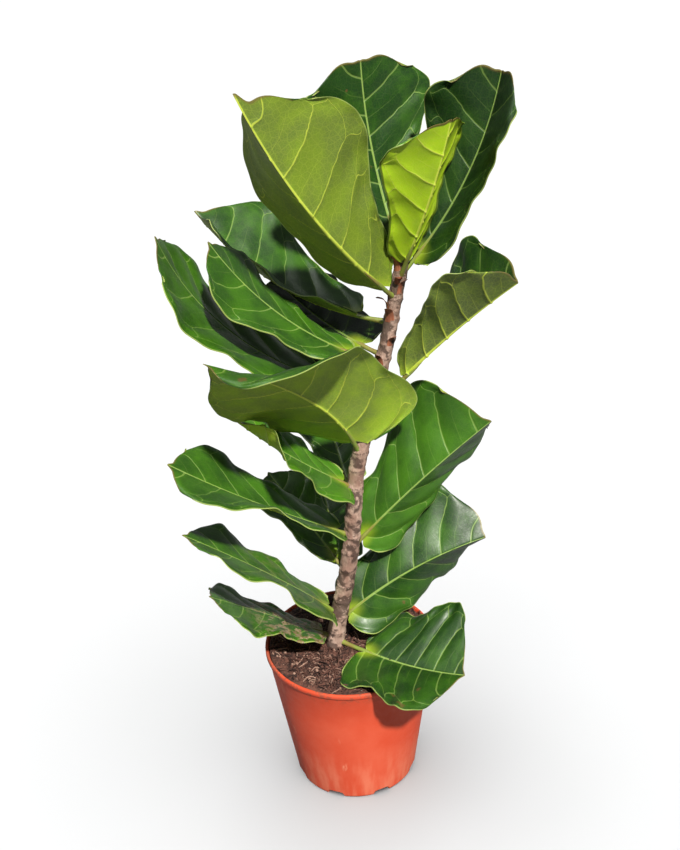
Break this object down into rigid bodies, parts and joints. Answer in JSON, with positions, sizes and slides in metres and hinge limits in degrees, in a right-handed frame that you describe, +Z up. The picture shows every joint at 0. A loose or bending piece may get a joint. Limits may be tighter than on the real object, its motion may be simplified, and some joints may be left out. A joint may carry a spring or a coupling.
{
  "type": "potted fiddle leaf fig",
  "caption": "Young fig tree with one slim leaning stem and broad, waved, fiddle-shaped leaves, standing in the potting mix of a tapered plastic nursery pot.",
  "frame": {"origin": "centre of the pot's flat underside", "axes": "+Z up along the pot's axis; the stem leans towards +X; the side seen in the picture faces -Y"},
  "size_m": [0.4329, 0.3876, 1.0181],
  "materials": {
    "pot": "matte, lightly scuffed",
    "soil": "coarse fibrous potting mix",
    "stem": "grey-brown bark",
    "bud": "dry papery sheath",
    "leaf": "glossy green leaf"
  },
  "bodies": {
    "root": {"pot": "pot", "soil": "soil", "stem": "stem", "bud": "bud", "leaf_01": "leaf", "leaf_02": "leaf", "leaf_03": "leaf", "leaf_04": "leaf", "leaf_05": "leaf", "leaf_06": "leaf", "leaf_07": "leaf", "leaf_08": "leaf", "leaf_09": "leaf", "leaf_10": "leaf", "leaf_11": "leaf", "leaf_12": "leaf", "leaf_13": "leaf", "leaf_14": "leaf", "leaf_15": "leaf", "leaf_16": "leaf", "leaf_17": "leaf", "leaf_18": "leaf", "leaf_19": "leaf", "leaf_20": "leaf"}
  },
  "joints": []
}
